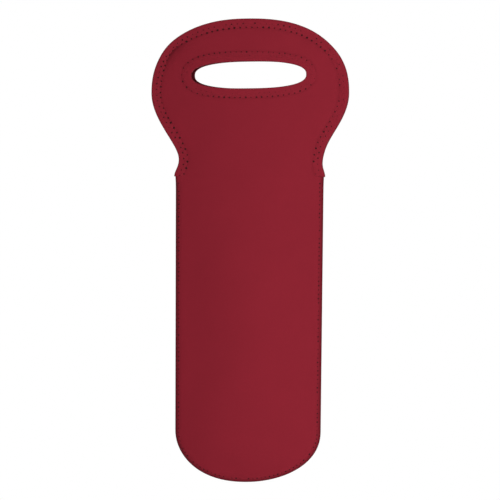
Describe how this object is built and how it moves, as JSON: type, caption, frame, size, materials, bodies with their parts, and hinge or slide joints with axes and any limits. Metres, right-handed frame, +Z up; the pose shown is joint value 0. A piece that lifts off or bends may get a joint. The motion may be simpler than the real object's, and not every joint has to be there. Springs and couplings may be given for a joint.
{
  "type": "bottle carrier",
  "caption": "Soft insulated bottle carrier: two sewn foam fabric panels form a round-bottomed pouch, and their free tops fold open as handle flaps with a bound hand hole",
  "frame": {"origin": "the middle of the hand hole, halfway between the two handle flaps, where the hand holds the carrier", "axes": "Z up along the height, X across the width, -Y out of the front panel"},
  "size_m": [0.163, 0.02, 0.3808],
  "materials": {
    "foam_fabric": "matt dark red jersey laminated on foam rubber",
    "binding_fabric": "matt dark red stretch binding",
    "thread": "dark red sewing thread"
  },
  "bodies": {
    "pouch": {"front_body_panel": "foam_fabric", "back_body_panel": "foam_fabric"},
    "front_flap": {"front_handle_flap": "foam_fabric", "front_flap_binding": "binding_fabric", "front_grip_binding": "binding_fabric"},
    "back_flap": {"back_handle_flap": "foam_fabric", "back_flap_binding": "binding_fabric", "back_grip_binding": "binding_fabric"}
  },
  "joints": [
    {"name": "front_flap_fold", "type": "hinge", "parent": "pouch", "child": "front_flap", "pos_m": [0, -0.0095, -0.084], "axis": [1, 0, 0], "range_deg": [0, 75], "stiffness_Nm_per_rad": 0.08},
    {"name": "back_flap_fold", "type": "hinge", "parent": "pouch", "child": "back_flap", "pos_m": [0, 0.0095, -0.084], "axis": [-1, 0, 0], "range_deg": [0, 75], "stiffness_Nm_per_rad": 0.08}
  ]
}
